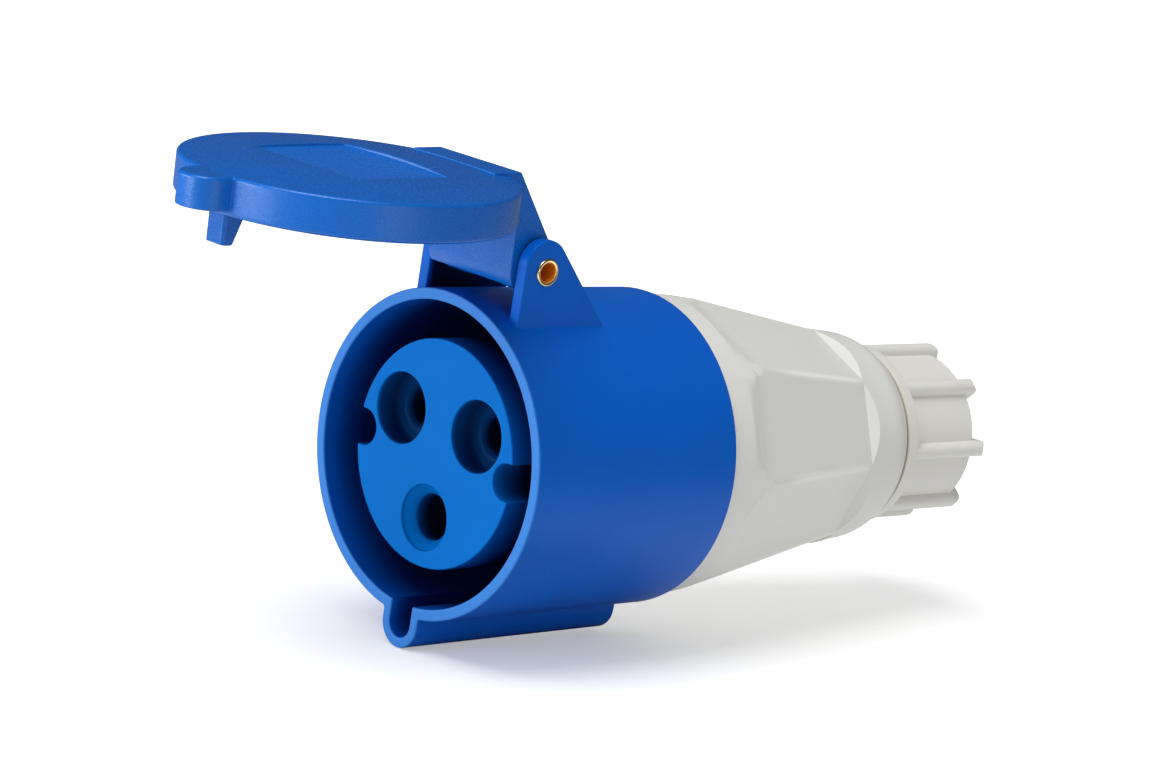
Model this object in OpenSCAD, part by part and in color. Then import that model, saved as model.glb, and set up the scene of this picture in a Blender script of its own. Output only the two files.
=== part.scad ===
// Splash-proof cable socket: front shell with a hinged lid, contact insert, rear housing and cable gland.
// Millimetres. The axis runs along Y, the mouth faces -Y at y = 0 and the hinge is on top (+Z).

/* [Shell] */
// Outside radius of the front shell at its mouth
shell_r = 27; // [25.5:0.5:30]
// Loss of outside radius from the mouth to the rear end
shell_draft = 0.3; // [0:0.1:0.6]
// Wall of the shell at its mouth
shell_wall = 1.9; // [1.6:0.1:2.2]
// Depth of the mouth down to the ledge
mouth_depth = 34; // [30:1:40]
// Thickness of the ledge that stops the insert
ledge_t = 2.5; // [2:0.5:4]

/* [Keyway] */
// Half width of the slot for the plug's key
key_half_w = 2.5; // [2.3:0.1:3]
// Depth of the slot outside the mouth's radius
key_depth = 5.7; // [5.3:0.1:6.6]
// Wall of the ridge around the slot
key_wall = 1.7; // [1.4:0.1:2.2]
// Rise of the ridge towards the rear, in degrees
key_rise = 0.75; // [0:0.05:1]

/* [Hinge] */
// Distance of the rivet behind the mouth
hinge_y = 8.9; // [8.5:0.1:10]
// Height of the rivet above the shell's crown
hinge_rise = 6; // [5.7:0.1:6.6]
// Radius of the ears' round top
ear_r = 4.4; // [4:0.1:5]
// Thickness of an ear
ear_t = 2.25; // [1.8:0.05:2.6]
// Distance between the ears
ear_gap = 20.4; // [18:0.2:23]
// Slope of the ears' rear edge, in degrees
ear_slope = 47.9; // [42:0.1:52]
// Outside radius of the rivet's tube
rivet_r = 2; // [1.8:0.05:2.2]
// Wall of the rivet's tube
rivet_wall = 0.4; // [0.3:0.05:0.5]

/* [Lid] */
// Opening angle at which the lid stands, in degrees
lid_open = 88; // [0:0.1:100]
// Step from the shell's outside in to the lid's edge
lid_inset = 0.1; // [0:0.1:0.8]
// Height of the lid's skirt
lid_h = 6.1; // [5.5:0.1:7]
// Height of the lid's domed top above its edge
lid_dome = 1.4; // [0.5:0.1:2]
// Wall of the lid's top
lid_wall = 2; // [1.6:0.1:2.4]
// Width of the sunken label field
label_w = 25; // [18:0.5:28]
// Height of the sunken label field
label_h = 18; // [10:0.5:20]
// Depth of the sunken label field
label_depth = 0.3; // [0.2:0.05:0.5]
// Length of the tooth that enters the mouth above the keyway
tooth_len = 5; // [4:0.1:6]
// Width of the tooth
tooth_w = 4.4; // [3.6:0.1:4.6]
// Radius of the arm's knuckle about the rivet
knuckle_r = 4.2; // [3.8:0.05:4.4]
// Wire diameter of the lid spring
spring_wire = 0.8; // [0.6:0.05:0.9]
// Full turns of the lid spring
spring_turns = 7; // [5:1:8]

/* [Insert] */
// Radius of the contact insert
insert_r = 18.75; // [18.3:0.05:19]
// Depth of the insert's face inside the mouth
face_y = 1.9; // [0.5:0.1:4]
// Radius of the circle on which the contacts lie
contact_circle = 10.7; // [10.5:0.1:10.9]
// Thickness of the insert's rear flange
flange_t = 3.5; // [3.5:0.5:5]
// Width of the grooves in the insert's sides
groove_w = 6.1; // [4:0.1:6.4]
// Depth of the grooves in the insert's sides
groove_depth = 4.2; // [3.4:0.1:4.4]

/* [Contacts] */
// Diameter of the plug's pole pins
pole_pin = 5; // [4.8:0.1:5.2]
// Diameter of the plug's earth pin
earth_pin = 7; // [6.8:0.1:7.2]
// Wall of the contact sleeves
sleeve_wall = 1.1; // [1:0.05:1.2]
// Radius of the widened pole mouths
pole_mouth_r = 5.9; // [5.5:0.1:6]
// Radius of the widened earth mouth
earth_mouth_r = 5.45; // [5:0.05:5.8]
// Start of the sleeves behind the mouth
sleeve_y = 14.5; // [13:0.5:17]
// Length of the terminal behind the retainer plate
terminal_len = 11; // [10:0.5:14]

/* [Housing] */
// Length of the housing's spigot inside the shell
spigot_len = 5; // [5:0.5:7]
// Step from the shell's rear end in to the housing's collar
collar_step = 0.9; // [0.7:0.1:1.3]
// Length of the collar behind the shell
collar_len = 11; // [8:0.5:14]
// Length of the conical grip
grip_len = 32; // [26:1:40]
// Radius at the rear end of the conical grip
grip_r = 19.2; // [18.2:0.1:20]
// Length of the rounded shoulder behind the grip
shoulder_len = 10.7; // [10:0.1:14]
// Number of flat grip panels
panel_count = 8; // [6:1:10]
// Distance of a panel from the axis as a share of the cone's radius
panel_share = 0.932; // [0.93:0.0005:0.96]
// Angle of the first panel, in degrees
panel_turn = 21.3; // [0:0.1:45]
// Wall of the housing
house_wall = 2.7; // [2.4:0.1:3]

/* [Gland] */
// Outside radius of the threaded gland spigot
gland_r = 12.6; // [12.2:0.1:13]
// Length of the threaded gland spigot
gland_len = 13.7; // [12:0.1:15]
// Radius of the hole through the rubber bush
cable_r = 5; // [4:0.1:6]
// Radius of the nut's grip
nut_r = 14.3; // [14.2:0.1:15]
// Length of the nut, without its crown of rib ends
nut_len = 20.1; // [19.5:0.1:23]
// Number of ribs on the nut
rib_count = 8; // [6:1:12]
// Angle of the first rib, in degrees
rib_turn = 1.5; // [0:0.5:45]
// Height of the ribs above the grip
rib_h = 1.8; // [1.4:0.1:2.4]
// Width of a rib
rib_w = 2.8; // [1.8:0.1:3.2]

/* [Hidden] */
$fn = 96;

blue = [0.02, 0.28, 0.66];
pale = [0.80, 0.80, 0.77];
brass = [0.78, 0.58, 0.22];
steel = [0.62, 0.63, 0.65];
rubber = [0.10, 0.10, 0.11];
inner_plastic = [0.16, 0.17, 0.19];

// Clearances: running hole, loose hole, free air between moving faces, and the cut past a face
running = 0.05;
loose = 0.1;
air = 0.3;
past = 1;

// Front shell
mouth_r = shell_r - shell_wall;
mouth_draft = 0.2;
mouth_floor_r = mouth_r - mouth_draft;
seat_y = mouth_depth + ledge_t;
flange_y = seat_y + flange_t;
shell_len = flange_y + spigot_len;
shell_rear_r = shell_r - shell_draft;
rear_wall = 2.1;
rear_bore_r = shell_rear_r - rear_wall;
insert_air = 0.35;
ledge_r = insert_r + insert_air;
insert_key_w = 3;
insert_key_h = 2;

// Ridge and slot below the mouth: U sections whose round bottom lies at these heights
slot_z = -(mouth_r + key_depth) + key_half_w;
ridge_half_w = key_half_w + key_wall;
ridge_z = slot_z;

// Hinge
hinge_z = shell_r + hinge_rise;
ear_lead = 0.3;
ear_lift = 0.8;
ear_front = hinge_y - ear_lead - ear_r;
ear_top_z = hinge_z + ear_lift;
ear_base_z = 0.6 * shell_r;
ear_out = ear_gap / 2 + ear_t;
rivet_lip = 0.3;
rivet_lip_r = rivet_r + rivet_lip;

// Lid, described closed; its rim stays just clear of the mouth
lid_r = shell_r - lid_inset;
rim_y = -0.2;
lid_top_y = rim_y - lid_h;
lid_edge = 0.6;
rim_chamfer = 0.4;
lid_band = 3.9;
lid_hollow_r = lid_r - lid_band;
seal_inset = 0.8;
seal_w = 1.5;
seal_out = lid_r - seal_inset;
seal_in = seal_out - seal_w;
seal_depth = 1.6;
seal_proud = 0.1;
arm_w = ear_gap - 2 * air;
under_r = hinge_rise - air;
pad_rise = 0.7;
pad_y = lid_top_y - pad_rise;
pad_len = 5.8;
arm_high_z = lid_r + 0.2;
pad_low_z = arm_high_z - pad_len;
arm_root_y = lid_top_y + 1;
label_bow = 1.2;

// Cover of the keyway ridge on the lid, a little shorter than the skirt, and the tooth behind it
bump_over = 0.3;
bump_half_w = ridge_half_w + bump_over;
bump_z = ridge_z + 0.4;
bump_rim_y = rim_y - 0.9;
tooth_out_z = -(mouth_r + 0.4);
tooth_root_t = 4;
tooth_tip_t = 2;
tooth_chamfer = 0.5;
tooth_root_y = lid_top_y + lid_wall / 2;

// Lid spring
coil_air = 0.22;
coil_r = rivet_r + coil_air + spring_wire / 2;
pocket_r = coil_r + spring_wire / 2 + 0.2;
coil_half = 3.2;
pocket_half = coil_half + spring_wire / 2 + 0.5;
lid_leg_len = 7;
shell_leg_angle = 20;
ring_steps = 16;
wedge_r = 9;
wedge_far_r = 13;
wedge_angles = [-45, 25, 95];

// Contact insert and contacts
pole_angles = [150, 30];
earth_angle = 270;
screw_angles = [90, 210, 330];
pole_hole_r = pole_pin / 2 + 0.4;
pole_mouth_depth = 4.4;
pole_fillet = 1;
pole_lip = 1.4;
earth_lip = 0.4;
earth_mouth_depth = 2;
earth_hole_r = earth_pin / 2 + 0.3;
pole_bore_r = pole_pin / 2 + 0.025;
earth_bore_r = earth_pin / 2 + 0.025;
collar_over = 1.15;
terminal_over = 0.7;
sleeve_air = 0.8;
sleeve_lead = 0.5;
collar_t = flange_t - sleeve_lead;
collar_y = flange_y - collar_t;
plate_t = 3;
plate_y = flange_y + plate_t;
plate_over = 1.65;
plate_r = insert_r + plate_over;
terminal_y = plate_y + terminal_len;
wire_screw_y = plate_y + 5;
plate_screw_circle = 12.5;
plate_screw_r = 1.45;
plate_screw_len = 10;
plate_head_r = 2.7;
plate_head_h = 1.8;
wire_screw_r = 1.65;
wire_head_r = 2.6;
wire_head_h = 2.2;
wire_screw_reach = 0.6;
ring_t = 0.7;
ring_len = 4;
ring_y = sleeve_y + 2.5;
ring_sink = 0.3;
ring_gap = 1.5;
slit_w = 0.6;
slit_len = 12;
wire_hole_r = 2.1;
wire_hole_y = plate_y + 1;

// Rear housing
spigot_r = rear_bore_r - air;
spigot_bore_r = plate_r + 0.6;
collar_r = shell_rear_r - collar_step;
collar_draft = 0.5;
collar_rear_r = collar_r - collar_draft;
grip_y = shell_len + collar_len;
grip_front_r = collar_rear_r;
shoulder_y = grip_y + grip_len;
housing_y = shoulder_y + shoulder_len;
shoulder_r = grip_r - 0.6;
shoulder_round = 2;
shoulder_straight = 5;
panel_lead = 7.5;
panel_y = grip_y - panel_lead;
panel_runout_r = 20;
panel_ramp = 1;
lug_y = flange_y + 0.4;
spigot_lead = 0.5;
collar_lead = 1.5;
seat_t = 2.2;
seat_slope = 1;
thread_chamfer = 0.8;
lug_h = 0.9;
lug_t = 1.8;
lug_half_angle = 12;
lug_angles = [60, 180, 300];
seal_minor = 0.85;
seal_y = shell_len - 1.4;
seal_major = rear_bore_r - running - seal_minor;
seal_groove_half = seal_minor + running;
seal_floor_r = seal_major - seal_minor - running;

// Gland
gland_wall = 1.6;
gland_bore_r = gland_r - gland_wall;
gland_seat_y = housing_y - 2.1;
gland_end_y = housing_y + gland_len;
seat_hole_r = cable_r + 3.2;
collet_r = gland_bore_r - 0.2;
collet_wall = 1.6;
collet_base = 2.6;
collet_hole_r = cable_r + 1.5;
collet_y = gland_seat_y;
collet_end_y = gland_end_y + 0.6;
finger_count = 8;
finger_slit = 1.2;
bush_r = collet_r - collet_wall - loose;
bush_y = collet_y + collet_base;
washer_t = 1.2;
washer_y = collet_end_y + 0.2;
washer_r = gland_r - 0.1;
washer_hole_r = cable_r + 1.5;
nut_gap = 0.8;
nut_y = housing_y + nut_gap;
nut_end_y = nut_y + nut_len;
nut_bore_r = gland_r + air;
nut_floor_y = washer_y + washer_t + loose;
nut_hole_r = cable_r + 3.5;
nut_ring_len = 3.4;
nut_ring_r = nut_r + rib_h + 0.25;
nut_ring_taper = 0.25;
nut_edge = 0.7;
rib_crown = 1.4;
rib_lead = 2.4;
rib_in_r = nut_r - 1.7;

// Points on an arc in a section plane
function arc(c, r, from, to, steps = 8) =
    [for (i = [0 : steps]) let (a = from + (to - from) * i / steps) c + r * [cos(a), sin(a)]];

// Radius of the grip's cone at a place along the axis
function cone_r(y) = grip_front_r + (grip_r - grip_front_r) * (y - grip_y) / grip_len;

// Solid of revolution about the socket's axis, from [radius, y] points
module turned(profile)
    rotate([-90, 0, 0]) rotate_extrude() polygon(profile);

// Straight cylinder along the axis
module rod(r, from, to)
    translate([0, from, 0]) rotate([-90, 0, 0]) cylinder(r = r, h = to - from);

// Cylinder across the hinge, centred on x = 0
module cross_rod(r, len, y, z)
    translate([0, y, z]) rotate([0, 90, 0]) cylinder(r = r, h = len, center = true);

// An outline in x and z, pulled along the axis
module along(from, to)
    translate([0, to, 0]) rotate([90, 0, 0]) linear_extrude(to - from) children();

// An outline in y and z, pulled across the width
module across(w)
    rotate([90, 0, 90]) linear_extrude(w, center = true) children();

// U section that hangs from the axis down to a round bottom
module hanging_u(half_w, centre_z) {
    translate([0, centre_z]) circle(half_w);
    translate([-half_w, centre_z]) square([2 * half_w, -centre_z]);
}

// Children moved out to a place on a circle about the axis
module at_angle(angle, radius)
    translate([radius * cos(angle), 0, radius * sin(angle)]) children();

// Children turned about the axis, from +X towards +Z
module spun(angle)
    rotate([0, -angle, 0]) children();

// Children turned about the hinge from the closed to the open place
module on_hinge(angle)
    translate([0, hinge_y, hinge_z]) rotate([-angle, 0, 0]) translate([0, -hinge_y, -hinge_z]) children();

// One hinge ear: upright front edge, round top, straight slope down to the shell
module ear_outline() {
    top_arc = arc([ear_front + ear_r, ear_top_z], ear_r, 180, 90 - ear_slope, 16);
    last = top_arc[len(top_arc) - 1];
    polygon(concat([[ear_front, ear_base_z]], top_arc,
                   [[last[0] + (last[1] - ear_base_z) / tan(ear_slope), ear_base_z]]));
}

// Ridge around the keyway, rising a little towards the rear
module ridge()
    intersection() {
        rotate([key_rise, 0, 0]) along(-past, shell_len + past) hanging_u(ridge_half_w, ridge_z);
        along(0, shell_len) translate([-shell_r, -2 * shell_r]) square([2 * shell_r, 2 * shell_r]);
    }

// Ring of short blocks around the axis, for the snap lugs and their pockets
module snap_ring(r_in, r_out, from, to, half_angle)
    for (a = lug_angles)
        spun(a - half_angle) rotate([-90, 0, 0]) mirror([0, 1, 0]) rotate_extrude(angle = 2 * half_angle)
            polygon([[r_in, from], [r_out, from], [r_out, to], [r_in, to]]);

module front_shell()
    color(blue) {
        difference() {
            union() {
                turned([[0, 0], [shell_r, 0], [shell_rear_r, shell_len], [0, shell_len]]);
                ridge();
                for (side = [-1, 1])
                    translate([side * (ear_gap + ear_t) / 2, 0, 0]) across(ear_t) ear_outline();
            }
            turned([[0, -past], [mouth_r, -past], [mouth_r, 0],
                    [mouth_floor_r, mouth_depth], [0, mouth_depth]]);
            rod(ledge_r, mouth_depth - past, seat_y + past);
            rod(rear_bore_r, seat_y, shell_len + past);
            along(-past, mouth_depth) hanging_u(key_half_w, slot_z);
            cross_rod(rivet_r + running, 2 * ear_out + past, hinge_y, hinge_z);
            snap_ring(spigot_r - past, spigot_r + lug_h + 2 * loose,
                      lug_y - loose, lug_y + lug_t + loose, lug_half_angle + 1);
        }
        along(seat_y, flange_y)
            translate([-insert_key_w / 2, rear_bore_r - insert_key_h])
                square([insert_key_w, insert_key_h + rear_wall / 3]);
    }

// Half section of the lid's disc: domed top, rounded edge, chamfered rim, hollow inside
function dome_y(r) = lid_top_y - lid_dome * (1 - pow(r / lid_r, 2));
label_floor_y = dome_y(norm([label_w, label_h]) / 2) + label_depth;
function lid_profile() =
    let (edge_r = lid_r - lid_edge, steps = 10)
    concat([for (i = [0 : steps]) [edge_r * i / steps, dome_y(edge_r * i / steps)]],
           arc([edge_r, dome_y(edge_r) + lid_edge], lid_edge, -75, 0, 5),
           [[lid_r, rim_y - rim_chamfer], [lid_r - rim_chamfer, rim_y], [lid_hollow_r, rim_y]],
           [for (i = [steps : -1 : 0])
               [lid_hollow_r * i / steps, dome_y(lid_hollow_r * i / steps) + lid_wall]]);

// Side outline of the hinge arm: pad on the lid's top, sloping back, knuckle round the rivet, flat underside
module arm_outline() {
    pivot = [hinge_y, hinge_z];
    pad = [pad_y, arm_high_z];
    reach = norm(pivot - pad);
    rise = atan2(pivot[1] - pad[1], pivot[0] - pad[0]) + asin(knuckle_r / reach);
    polygon(concat([[pad_y, pad_low_z], pad],
                   arc(pivot, knuckle_r, rise + 90, -45, 14),
                   arc(pivot, under_r, -62, -90, 4),
                   [[rim_y, hinge_z - under_r], [rim_y, lid_hollow_r], [arm_root_y, lid_hollow_r],
                    [arm_root_y, pad_low_z]]));
}

// Room for the spring: round pocket about the rivet, open to the rear, and a slit for the lid's leg
module spring_room() {
    cross_rod(pocket_r, 2 * pocket_half, hinge_y, hinge_z);
    across(2 * pocket_half)
        translate([hinge_y, hinge_z])
            polygon([[0, 0],
                     wedge_r * [cos(wedge_angles[0]), sin(wedge_angles[0])],
                     wedge_far_r * [cos(wedge_angles[1]), sin(wedge_angles[1])],
                     wedge_r * [cos(wedge_angles[2]), sin(wedge_angles[2])]]);
    translate([-coil_half, hinge_y - lid_leg_len / 2 - loose, hinge_z - coil_r])
        cube([1.5 * spring_wire, lid_leg_len + 2 * loose, 1.5 * spring_wire], center = true);
}

// Sunken field with bowed long edges
module label_outline() {
    bow_r = (pow(label_w / 2, 2) + pow(label_bow, 2)) / (2 * label_bow);
    half = asin(label_w / 2 / bow_r);
    centre = [0, label_h / 2 + label_bow - bow_r];
    polygon(concat(arc(centre, bow_r, 90 - half, 90 + half), arc(-centre, bow_r, 270 - half, 270 + half)));
}

// Tooth that drops into the mouth: thinner towards its tip, with the two outer corners cut off
module tooth() {
    tip_y = rim_y + tooth_len;
    inner_z = tooth_out_z + tooth_root_t;
    half = tooth_w / 2;
    intersection() {
        across(tooth_w)
            polygon([[tooth_root_y, tooth_out_z], [tooth_root_y, inner_z], [rim_y, inner_z],
                     [tip_y, tooth_out_z + tooth_tip_t], [tip_y, tooth_out_z]]);
        along(tooth_root_y - past, tip_y + past)
            polygon([[-half, inner_z + past], [half, inner_z + past], [half, tooth_out_z + tooth_chamfer],
                     [half - tooth_chamfer, tooth_out_z], [tooth_chamfer - half, tooth_out_z],
                     [-half, tooth_out_z + tooth_chamfer]]);
    }
}

// Half section of the keyway cover, with the lid's own round edge
function bump_profile() =
    concat([[0, bump_rim_y], [0, lid_top_y]],
           arc([bump_half_w - lid_edge, lid_top_y + lid_edge], lid_edge, -90, 0, 5),
           [[bump_half_w, bump_rim_y]]);

// Cover of the keyway ridge: round end and straight sides, from the lid's hollow outwards
module keyway_cover() {
    half = bump_profile();
    difference() {
        union() {
            translate([0, 0, bump_z]) turned(half);
            translate([0, 0, bump_z]) linear_extrude(-bump_z)
                union() {
                    polygon(half);
                    mirror([1, 0]) polygon(half);
                }
        }
        rod(lid_hollow_r, lid_top_y - past, rim_y + past);
    }
}

module lid()
    color(blue) on_hinge(lid_open) {
        difference() {
            union() {
                turned(lid_profile());
                keyway_cover();
                across(arm_w) arm_outline();
            }
            turned([[seal_in, rim_y - seal_depth], [seal_out, rim_y - seal_depth],
                    [seal_out, rim_y + past], [seal_in, rim_y + past]]);
            along(lid_top_y - lid_dome - past, label_floor_y) label_outline();
            cross_rod(rivet_r + running, arm_w + past, hinge_y, hinge_z);
            spring_room();
        }
        tooth();
    }

// Flat ring in the lid's groove, cut out where the tooth stands
module lid_gasket()
    color(rubber) on_hinge(lid_open)
        difference() {
            turned([[seal_in + running, rim_y - seal_depth], [seal_out - running, rim_y - seal_depth],
                    [seal_out - running, rim_y + seal_proud], [seal_in + running, rim_y + seal_proud]]);
            translate([0, rim_y, -lid_r]) cube([tooth_w + 2 * air, 4 * seal_depth, lid_r], center = true);
        }

// Tube with both ends rolled over the ears; the outer half of one rolled end, then the whole section
function rivet_end() =
    concat([[rivet_r, ear_out]],
           [for (p = arc([rivet_lip_r - rivet_lip, ear_out], rivet_lip, 0, 90, 6)) p],
           [[rivet_r - rivet_wall, ear_out + rivet_lip / 2]]);
function rivet_section() =
    let (end = rivet_end(), last = len(end) - 1)
    concat(end, [for (i = [last : -1 : 0]) [end[i][0], -end[i][1]]]);
module hinge_rivet()
    color(brass)
        translate([0, hinge_y, hinge_z]) rotate([0, 90, 0]) rotate_extrude() polygon(rivet_section());

// Centre line of the spring: straight leg in the lid, coil round the rivet, straight leg down to the shell
function spin_point(x, phi) = [x, hinge_y + coil_r * cos(phi), hinge_z + coil_r * sin(phi)];
function spring_path() =
    let (first = -90 - lid_open, last = 360 * spring_turns - 90 - shell_leg_angle,
         steps = ceil((last - first) / 360 * ring_steps),
         drop = hinge_z - coil_r * cos(shell_leg_angle) - shell_r - spring_wire / 2,
         shell_leg_len = drop / sin(shell_leg_angle))
    concat([spin_point(-coil_half, first) + lid_leg_len * [0, sin(first), -cos(first)]],
           [for (i = [0 : steps])
               spin_point(-coil_half + 2 * coil_half * i / steps, first + (last - first) * i / steps)],
           [spin_point(coil_half, last) + shell_leg_len * [0, -sin(last), cos(last)]]);

// Round wire swept along a path that runs about the X axis
module wire(path, r, sides = 6) {
    count = len(path);
    rings = [for (i = [0 : count - 1])
        let (t = path[min(i + 1, count - 1)] - path[max(i - 1, 0)],
             side = cross(t, [1, 0, 0]),
             n = side / norm(side))
        for (k = [0 : sides - 1])
            let (a = 360 * k / sides) path[i] + r * (cos(a) * [1, 0, 0] + sin(a) * n)];
    polyhedron(rings, concat(
        [[for (k = [0 : sides - 1]) k]],
        [for (i = [0 : count - 2], k = [0 : sides - 1])
            let (a = i * sides + k, b = i * sides + (k + 1) % sides) [a, a + sides, b + sides, b]],
        [[for (k = [sides - 1 : -1 : 0]) (count - 1) * sides + k]]));
}

module lid_spring()
    color(steel) wire(spring_path(), spring_wire / 2);

// Outside radius of a contact's sleeve, collar and terminal, from its bore
function sleeve_r(bore_r) = bore_r + sleeve_wall;
function contact_collar_r(bore_r) = sleeve_r(bore_r) + collar_over;
function terminal_r(bore_r) = sleeve_r(bore_r) + terminal_over;

// A contact hole through the insert: front hole, sleeve chamber and collar seat
module contact_room(hole_r, bore_r) {
    rod(hole_r, face_y - past, sleeve_y);
    rod(sleeve_r(bore_r) + sleeve_air, sleeve_y - sleeve_lead, flange_y);
    rod(contact_collar_r(bore_r) + loose, collar_y, flange_y + past);
}

// Cup of a pole hole: straight wall, round foot, then a round lip down into the hole
module pole_mouth() {
    floor_y = face_y + pole_mouth_depth;
    turned(concat([[0, face_y - past], [pole_mouth_r, face_y - past]],
                  arc([pole_mouth_r - pole_fillet, floor_y - pole_fillet], pole_fillet, 0, 90),
                  arc([pole_hole_r + pole_lip, floor_y + pole_lip], pole_lip, 270, 180),
                  [[0, floor_y + pole_lip]]));
}

// Conical lead-in of the earth hole
module earth_mouth()
    turned([[0, face_y - past], [earth_mouth_r, face_y - past], [earth_mouth_r, face_y + earth_lip],
            [earth_hole_r, face_y + earth_mouth_depth], [0, face_y + earth_mouth_depth]]);

// Groove along the insert's side, with a round bottom
module side_groove()
    along(face_y - past, mouth_depth)
        translate([insert_r - groove_depth + groove_w / 2, 0]) {
            circle(groove_w / 2);
            translate([0, -groove_w / 2]) square([groove_w, groove_w]);
        }

module contact_insert()
    color(blue)
        difference() {
            union() {
                rod(insert_r, face_y, flange_y);
                rod(rear_bore_r - air, seat_y, flange_y);
            }
            for (a = pole_angles)
                at_angle(a, contact_circle) {
                    pole_mouth();
                    contact_room(pole_hole_r, pole_bore_r);
                }
            at_angle(earth_angle, contact_circle) {
                earth_mouth();
                contact_room(earth_hole_r, earth_bore_r);
            }
            for (a = [0, 180])
                spun(a) side_groove();
            for (a = screw_angles)
                at_angle(a, plate_screw_circle)
                    rod(plate_screw_r + running, plate_y - plate_screw_len - sleeve_lead, flange_y + past);
            along(seat_y - past, flange_y + past)
                translate([-insert_key_w / 2 - loose, rear_bore_r - insert_key_h - loose])
                    square([insert_key_w + 2 * loose, 2 * insert_key_h]);
        }

// Turned contact with a slit sleeve in front and a wire hole with a clamping screw behind
module contact(angle, bore_r)
    spun(angle) translate([contact_circle, 0, 0])
        difference() {
            turned([[0, flange_y - 1], [bore_r, flange_y - 1], [bore_r, sleeve_y],
                    [sleeve_r(bore_r), sleeve_y], [sleeve_r(bore_r), ring_y - loose],
                    [sleeve_r(bore_r) - ring_sink, ring_y - loose],
                    [sleeve_r(bore_r) - ring_sink, ring_y + ring_len + loose],
                    [sleeve_r(bore_r), ring_y + ring_len + loose], [sleeve_r(bore_r), collar_y],
                    [contact_collar_r(bore_r), collar_y], [contact_collar_r(bore_r), flange_y],
                    [terminal_r(bore_r), flange_y], [terminal_r(bore_r), terminal_y],
                    [wire_hole_r, terminal_y], [wire_hole_r, wire_hole_y], [0, wire_hole_y]]);
            for (a = [45, 135])
                spun(a) translate([0, sleeve_y + slit_len / 2 - past / 2, 0])
                    cube([4 * bore_r, slit_len + past, slit_w], center = true);
            translate([0, wire_screw_y, 0]) rotate([0, 90, 0])
                cylinder(r = wire_screw_r + running, h = 2 * terminal_r(bore_r));
        }

module line_contact()
    color(brass) contact(pole_angles[0], pole_bore_r);

module neutral_contact()
    color(brass) contact(pole_angles[1], pole_bore_r);

module earth_contact()
    color(brass) contact(earth_angle, earth_bore_r);

// Spring ring that closes the fingers of a sleeve
module sleeve_ring(angle, bore_r) {
    ring_in = sleeve_r(bore_r) - ring_sink + running;
    spun(angle) translate([contact_circle, 0, 0])
        difference() {
            rod(ring_in + ring_t, ring_y, ring_y + ring_len);
            rod(ring_in, ring_y - past, ring_y + ring_len + past);
            translate([0, ring_y + ring_len / 2, ring_in])
                cube([ring_gap, ring_len + past, 4 * ring_t], center = true);
        }
}

module pole_springs()
    color(steel)
        for (a = pole_angles)
            sleeve_ring(a, pole_bore_r);

module earth_spring()
    color(steel) sleeve_ring(earth_angle, earth_bore_r);

// Slotted screw along +Z: the head's underside lies at z = 0
module slotted_screw(shank_r, shank_len, head_r, head_h)
    difference() {
        union() {
            translate([0, 0, -shank_len]) cylinder(r = shank_r, h = shank_len + head_h / 2);
            cylinder(r = head_r, h = head_h);
        }
        translate([0, 0, head_h]) cube([3 * head_r, 0.4 * shank_r, head_h], center = true);
    }

module terminal_screws()
    color(steel)
        for (c = [[pole_angles[0], pole_bore_r], [pole_angles[1], pole_bore_r], [earth_angle, earth_bore_r]])
            spun(c[0]) translate([contact_circle + terminal_r(c[1]), wire_screw_y, 0]) rotate([0, 90, 0])
                slotted_screw(wire_screw_r, terminal_r(c[1]) - wire_hole_r + wire_screw_reach,
                              wire_head_r, wire_head_h);

// Hole through the retainer plate
module plate_hole(r)
    rod(r, flange_y - past, plate_y + past);

module contact_retainer()
    color(inner_plastic)
        difference() {
            rod(plate_r, flange_y, plate_y);
            for (a = pole_angles)
                at_angle(a, contact_circle) plate_hole(terminal_r(pole_bore_r) + loose);
            at_angle(earth_angle, contact_circle) plate_hole(terminal_r(earth_bore_r) + loose);
            for (a = screw_angles)
                at_angle(a, plate_screw_circle) plate_hole(plate_screw_r + loose);
        }

module retainer_screws()
    color(steel)
        for (a = screw_angles)
            at_angle(a, plate_screw_circle) translate([0, plate_y, 0]) rotate([-90, 0, 0])
                slotted_screw(plate_screw_r, plate_screw_len, plate_head_r, plate_head_h);

// Half section of the housing, outside from the spigot to the gland and back along the inside
function housing_profile() =
    concat([[spigot_bore_r, flange_y], [spigot_r, flange_y], [spigot_r, shell_len], [collar_r, shell_len],
            [collar_rear_r, grip_y], [grip_r, shoulder_y]],
           [for (i = [0 : 6])
               [shoulder_r - shoulder_round * pow(i / 6, 2),
                shoulder_y + shoulder_straight + (shoulder_len - shoulder_straight) * i / 6]],
           [[gland_r, housing_y], [gland_r, gland_end_y - thread_chamfer],
            [gland_r - thread_chamfer, gland_end_y], [gland_bore_r, gland_end_y],
            [gland_bore_r, gland_seat_y], [seat_hole_r, gland_seat_y], [seat_hole_r, gland_seat_y - seat_t],
            [shoulder_r - house_wall, gland_seat_y - seat_t - seat_slope],
            [grip_r - house_wall, shoulder_y], [grip_front_r - house_wall, grip_y],
            [collar_r - house_wall - air, shell_len + collar_lead],
            [spigot_bore_r, shell_len + spigot_lead]]);

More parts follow.
